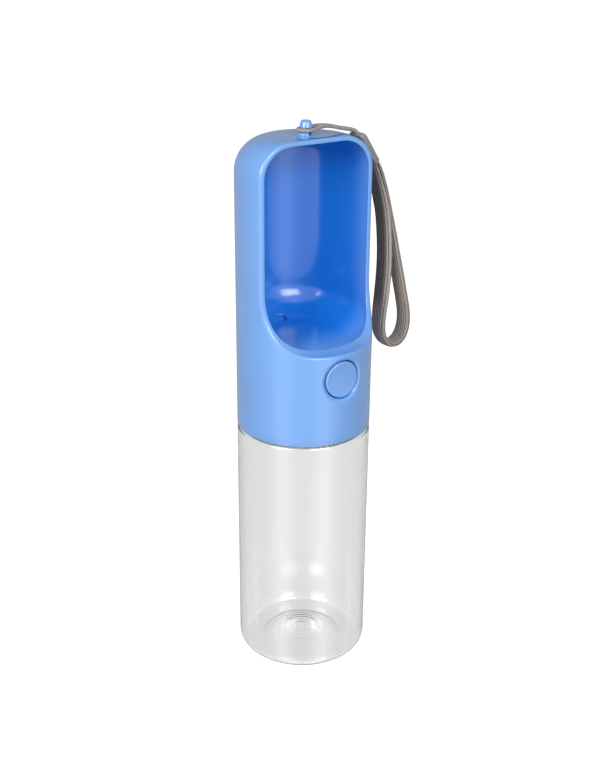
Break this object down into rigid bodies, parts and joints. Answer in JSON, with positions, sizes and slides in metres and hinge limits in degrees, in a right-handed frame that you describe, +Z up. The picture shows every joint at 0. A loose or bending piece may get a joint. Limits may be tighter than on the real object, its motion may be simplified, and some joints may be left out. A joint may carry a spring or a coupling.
{
  "type": "dog travel water bottle",
  "caption": "Travel water bottle for dogs: a clear bottle screwed into a tall drinking head whose open front is a trough, with a push-button valve and a wrist strap.",
  "frame": {"origin": "middle of the bottle's base, on the plane it stands on", "axes": "+Z up along the bottle's axis, -Y towards the open front of the trough and the push button, +X towards the side on which the wrist strap hangs"},
  "size_m": [0.1019, 0.07, 0.2914],
  "materials": {
    "clear_plastic": "clear, polished",
    "blue_plastic": "moulded, glossy",
    "white_plastic": "moulded, satin",
    "grey_plastic": "moulded, matt",
    "silicone": "soft, translucent white",
    "black_rubber": "smooth",
    "steel": "stainless, drawn",
    "webbing": "knitted, ribbed along its length"
  },
  "bodies": {
    "bottle": {"bottle": "clear_plastic"},
    "neck_seal": {"neck_gasket": "silicone"},
    "head": {"drinking_head": "blue_plastic", "thread_collar": "white_plastic", "collar_screws": "steel", "chamber_seal": "silicone", "valve_cover": "white_plastic", "cover_screws": "steel", "stem_o_ring": "black_rubber", "riser_tube": "white_plastic", "riser_seal": "silicone", "slide_bracket": "white_plastic", "bracket_screws": "steel", "strap_post": "blue_plastic", "valve_spring": "steel", "button_spring": "steel"},
    "push_button": {"button": "blue_plastic", "button_slider": "white_plastic"},
    "valve": {"valve_stem": "white_plastic", "valve_plug": "silicone", "stem_cam": "white_plastic"},
    "strap": {"strap_cord": "webbing", "strap_ferrule": "grey_plastic", "wrist_strap": "webbing"}
  },
  "joints": [
    {"name": "head_rise", "type": "slide", "parent": "bottle", "child": "neck_seal", "axis": [0, 0, 1], "range_m": [0, 0.01625]},
    {"name": "head_unscrew", "type": "hinge", "parent": "neck_seal", "child": "head", "pos_m": [0, 0, 0.1345], "axis": [0, 0, 1], "range_deg": [0, 1170]},
    {"name": "button_press", "type": "slide", "parent": "head", "child": "push_button", "axis": [0, 1, 0], "range_m": [0, 0.0035], "stiffness_N_per_m": 600, "springref_m": -0.003, "deforming": ["button_spring"]},
    {"name": "valve_open", "type": "slide", "parent": "head", "child": "valve", "axis": [0, 0, -1], "range_m": [0, 0.0035], "stiffness_N_per_m": 300, "springref_m": -0.004, "deforming": ["valve_spring"]},
    {"name": "strap_swivel", "type": "hinge", "parent": "head", "child": "strap", "pos_m": [0, 0, 0.287], "axis": [0, 0, 1], "continuous": true}
  ],
  "couplings": [
    {"joint": "head_rise", "follows": "head_unscrew", "m_per_rad": 0.00079577},
    {"joint": "valve_open", "follows": "button_press", "ratio": 1}
  ]
}
